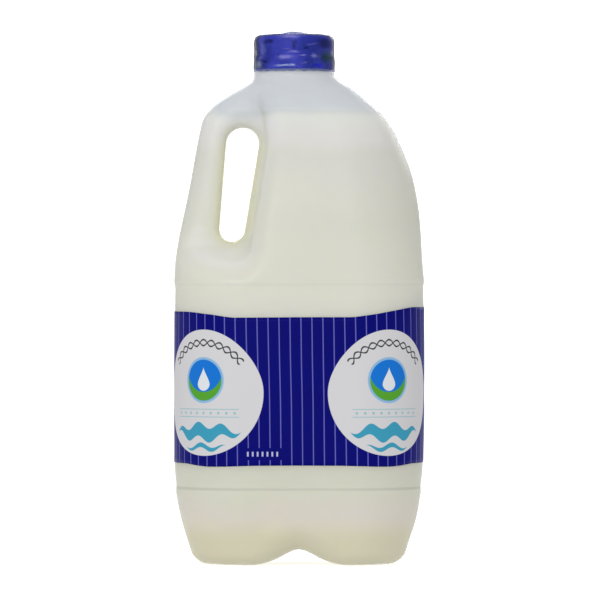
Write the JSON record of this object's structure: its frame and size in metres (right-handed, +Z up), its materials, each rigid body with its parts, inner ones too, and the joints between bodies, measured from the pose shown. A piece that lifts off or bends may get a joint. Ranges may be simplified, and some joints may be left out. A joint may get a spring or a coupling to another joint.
{
  "type": "plastic milk jug",
  "caption": "Shut plastic milk jug with a moulded grip handle, blue screw cap under a clear seal, printed blue sleeve and milk inside.",
  "frame": {"origin": "middle of the jug's footprint, on the surface it stands on", "axes": "+Z up, -Y towards the front that the picture shows, +X away from the handle"},
  "size_m": [0.1257, 0.1008, 0.2655],
  "materials": {
    "jug_plastic": "cloudy translucent polyethylene, satin",
    "milk": "opaque white milk, seen through the jug's wall",
    "cap_plastic": "smooth deep blue polyethylene, semi-gloss",
    "sleeve_print": "blue printed film with pale stripes and white round fields, satin gloss",
    "seal_film": "thin clear shrink film, glossy and crinkled"
  },
  "bodies": {
    "root": {"jug_body": "jug_plastic", "milk": "milk", "cap": "cap_plastic", "label_sleeve": "sleeve_print", "cap_film": "seal_film"}
  },
  "joints": []
}
